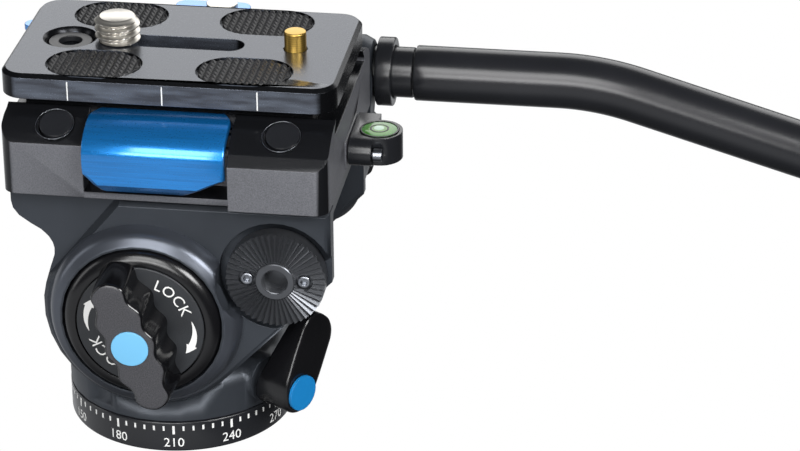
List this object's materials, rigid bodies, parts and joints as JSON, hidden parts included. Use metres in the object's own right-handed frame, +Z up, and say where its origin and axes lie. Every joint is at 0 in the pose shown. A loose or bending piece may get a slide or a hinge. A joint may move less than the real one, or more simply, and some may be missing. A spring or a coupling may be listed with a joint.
{
  "type": "fluid video head",
  "caption": "Compact fluid pan and tilt head with a side-lock camera plate, a tilt lock knob, toothed rosettes, a level and a bent pan bar.",
  "frame": {"origin": "centre of the tripod thread at the underside of the base, on the pan axis", "axes": "+Z up along the pan axis, +X from the front towards the end the pan bar points to, +Y to the side that carries the pan bar"},
  "size_m": [0.3088, 0.0902, 0.0904],
  "materials": {
    "black_anodised": "satin black anodised",
    "grey_bracket": "satin dark grey anodised over fine blasting",
    "black_plastic": "fine moulded matt",
    "printed_plastic": "grained matt with a white print",
    "blue_anodised": "satin blue anodised",
    "blue_cap": "satin light blue",
    "steel": "turned steel",
    "nickel": "bright nickel plate",
    "brass": "turned brass",
    "black_rubber": "soft matt with a small grip pattern",
    "level_liquid": "clear yellow-green level liquid under a clear dome"
  },
  "bodies": {
    "base": {"dial_ring": "black_anodised", "base_plate": "black_anodised", "tripod_insert": "steel", "pan_cartridge": "steel", "pan_axle": "steel"},
    "pan": {"pan_housing": "grey_bracket", "tilt_cartridge_near": "steel", "tilt_cartridge_far": "steel", "tilt_axle": "steel", "axle_nut": "steel"},
    "pan_lock": {"pan_lock_lever": "black_plastic", "pan_lock_cap": "blue_cap", "pan_lock_screw": "steel"},
    "tilt": {"tilt_bracket": "grey_bracket", "rosette_near": "black_anodised", "rosette_far": "black_anodised", "rosette_screw_near_1": "steel", "rosette_screw_near_2": "steel", "rosette_screw_far_1": "steel", "rosette_screw_far_2": "steel", "far_cover": "black_plastic", "platform": "black_anodised", "clamp_plug_1": "black_anodised", "clamp_plug_2": "black_anodised", "clamp_plug_3": "black_anodised", "clamp_plug_4": "black_anodised", "release_pin": "steel", "plate_lock_screw": "nickel", "level_housing": "black_anodised", "level_vial": "level_liquid", "level_screw": "steel"},
    "tilt_lock": {"tilt_lock_dial": "black_plastic", "lock_disc": "printed_plastic", "grip_bar": "black_plastic", "knob_cap": "blue_cap"},
    "release_lever": {"release_lever": "blue_anodised"},
    "plate_lock": {"plate_lock_lever": "blue_anodised"},
    "camera_plate": {"camera_plate": "black_anodised", "grip_pad_1": "black_rubber", "grip_pad_2": "black_rubber", "grip_pad_3": "black_rubber", "grip_pad_4": "black_rubber", "spare_insert": "black_anodised"},
    "screw_slider": {"screw_washer": "steel"},
    "camera_screw": {"camera_screw": "nickel"},
    "video_pin": {"video_pin": "brass"},
    "pan_bar": {"bar_bracket": "grey_bracket", "bar_neck": "black_anodised", "bar_collar": "black_anodised", "bar_tube": "black_anodised", "bar_grip": "black_rubber", "bar_end_cap": "black_plastic"},
    "bar_clamp": {"bar_clamp_knob": "black_plastic", "bar_clamp_stud": "steel"}
  },
  "joints": [
    {"name": "pan_turn", "type": "hinge", "parent": "base", "child": "pan", "pos_m": [0, 0, 0.007], "axis": [0, 0, 1], "continuous": true},
    {"name": "pan_lock_turn", "type": "hinge", "parent": "pan", "child": "pan_lock", "pos_m": [0, 0, 0.0134], "axis": [-0.848, 0.5299, 0], "range_deg": [0, 60]},
    {"name": "tilt_turn", "type": "hinge", "parent": "pan", "child": "tilt", "pos_m": [-0.00166, 0, 0.0334], "axis": [0, -1, 0], "range_deg": [-15, 90]},
    {"name": "tilt_lock_turn", "type": "hinge", "parent": "tilt", "child": "tilt_lock", "pos_m": [-0.00166, 0, 0.0334], "axis": [0, -1, 0], "range_deg": [0, 90]},
    {"name": "release_press", "type": "hinge", "parent": "tilt", "child": "release_lever", "pos_m": [0.00215, -0.0232, 0.071], "axis": [1, 0, 0], "range_deg": [0, 12], "stiffness_Nm_per_rad": 0.2, "springref_deg": -11.46},
    {"name": "plate_lock_turn", "type": "hinge", "parent": "tilt", "child": "plate_lock", "pos_m": [0.0046, 0.0328, 0.078], "axis": [0, 0, -1], "range_deg": [0, 50]},
    {"name": "plate_slide", "type": "slide", "parent": "tilt", "child": "camera_plate", "axis": [1, 0, 0], "range_m": [-0.015, 0.015]},
    {"name": "screw_slide", "type": "slide", "parent": "camera_plate", "child": "screw_slider", "axis": [1, 0, 0], "range_m": [0, 0.0236]},
    {"name": "screw_turn", "type": "hinge", "parent": "screw_slider", "child": "camera_screw", "pos_m": [-0.011, 0, 0.0845], "axis": [0, 0, 1], "continuous": true},
    {"name": "pin_press", "type": "slide", "parent": "camera_plate", "child": "video_pin", "axis": [0, 0, -1], "range_m": [0, 0.0035], "stiffness_N_per_m": 400, "springref_m": -0.003},
    {"name": "bar_swing", "type": "hinge", "parent": "tilt", "child": "pan_bar", "pos_m": [0.0262, 0.03, 0.0436], "axis": [0, 1, 0], "range_deg": [-20, 60]},
    {"name": "bar_clamp_turn", "type": "hinge", "parent": "pan_bar", "child": "bar_clamp", "pos_m": [0.0262, 0.04, 0.0436], "axis": [0, 1, 0], "continuous": true}
  ]
}
